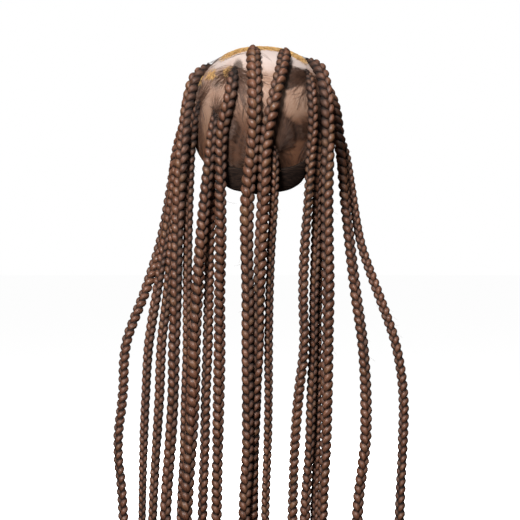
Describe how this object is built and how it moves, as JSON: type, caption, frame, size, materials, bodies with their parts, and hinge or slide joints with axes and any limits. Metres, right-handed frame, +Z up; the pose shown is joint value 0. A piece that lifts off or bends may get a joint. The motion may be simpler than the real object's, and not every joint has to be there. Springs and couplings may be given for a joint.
{
  "type": "braid wig",
  "caption": "Wig of long loose three-strand braids rooted on a hollow lace cap, kept in the form it has on a head",
  "frame": {"origin": "inside top of the cap, where the crown of the head meets it", "axes": "+Z up, +Y the way the wearer looks, +X to the wearer's right, which is picture right seen from behind"},
  "size_m": [0.3162, 0.1987, 0.6001],
  "materials": {
    "hair": "soft sheen, plaited fibre",
    "lace": "matte net",
    "band": "matte, combed hair on stretch band"
  },
  "bodies": {
    "root": {"lace_cap": "lace", "nape_band": "band", "braid_temple_left": "hair", "braid_ear_left": "hair", "braid_side_left": "hair", "braid_front_left": "hair", "braid_behind_ear_left": "hair", "braid_back_left": "hair", "braid_nape_left": "hair", "braid_crown_left": "hair", "braid_top_left": "hair", "braid_top_right": "hair", "braid_nape_middle": "hair", "braid_back_right": "hair", "braid_crown_right": "hair", "braid_nape_right": "hair", "braid_behind_ear_right": "hair", "braid_front_right": "hair", "braid_ear_right": "hair", "braid_temple_right": "hair"}
  },
  "joints": []
}
